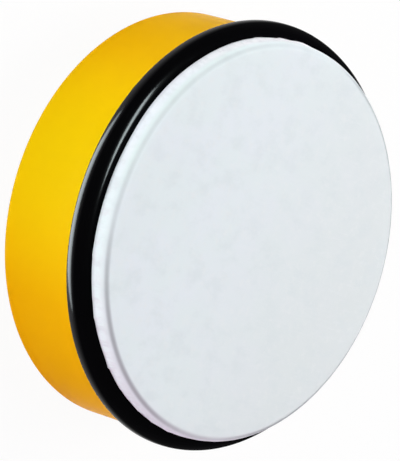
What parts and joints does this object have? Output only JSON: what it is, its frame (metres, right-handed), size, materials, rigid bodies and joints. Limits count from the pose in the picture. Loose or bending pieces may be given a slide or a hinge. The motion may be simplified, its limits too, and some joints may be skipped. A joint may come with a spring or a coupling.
{
  "type": "hand drum",
  "caption": "Small round hand drum with an open-backed moulded shell, a natural skin head over a rounded bearing edge, and a crowned black counter hoop that holds the tucked skin.",
  "frame": {"origin": "centre of the open back, on the surface that the drum lies on", "axes": "+Z along the drum's axis from the open back to the playing face, +X and +Y across the drum"},
  "size_m": [0.162, 0.162, 0.0516],
  "materials": {
    "shell_plastic": "smooth glossy yellow moulding",
    "natural_skin": "dry scraped skin, cool white with faint mottling",
    "hoop_wire": "drawn wire",
    "hoop_plastic": "polished black moulding"
  },
  "bodies": {
    "root": {"shell": "shell_plastic", "drum_head": "natural_skin", "flesh_hoop": "hoop_wire", "counter_hoop": "hoop_plastic"}
  },
  "joints": []
}
